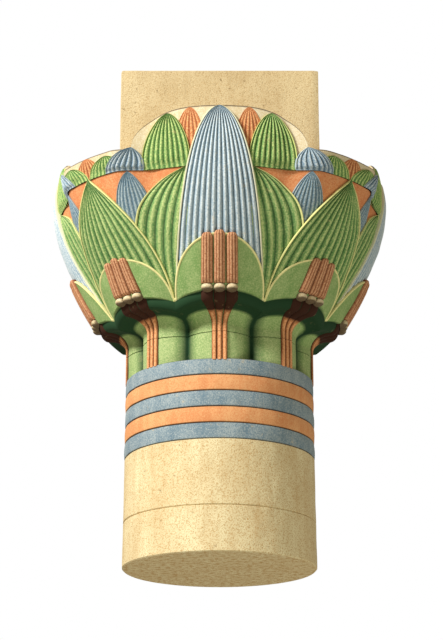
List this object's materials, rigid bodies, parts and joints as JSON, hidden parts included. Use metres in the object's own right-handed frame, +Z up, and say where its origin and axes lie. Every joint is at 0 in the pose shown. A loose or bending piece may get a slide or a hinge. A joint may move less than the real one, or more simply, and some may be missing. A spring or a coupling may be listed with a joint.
{
  "type": "egyptian column capital",
  "caption": "Painted sandstone capital with a flaring bell of bound papyrus plants, banded neck, square abacus and the top of its round column shaft.",
  "frame": {"origin": "centre of the flat lower bed of the shaft, on the column's axis", "axes": "+Z up along the column's axis; -Y is the front face of the abacus, +X its right; the faces of the abacus are square to X and Y"},
  "size_m": [2.4422, 2.4586, 3.4803],
  "materials": {
    "sandstone": "dressed sandstone, bare, matte",
    "banded_stone": "sandstone painted in blue and orange bands, matte",
    "painted_stone": "carved sandstone painted green, blue, red and cream, matte"
  },
  "bodies": {
    "root": {"lower_drum": "sandstone", "banded_drum": "banded_stone", "bell_block": "painted_stone", "abacus": "sandstone"}
  },
  "joints": []
}
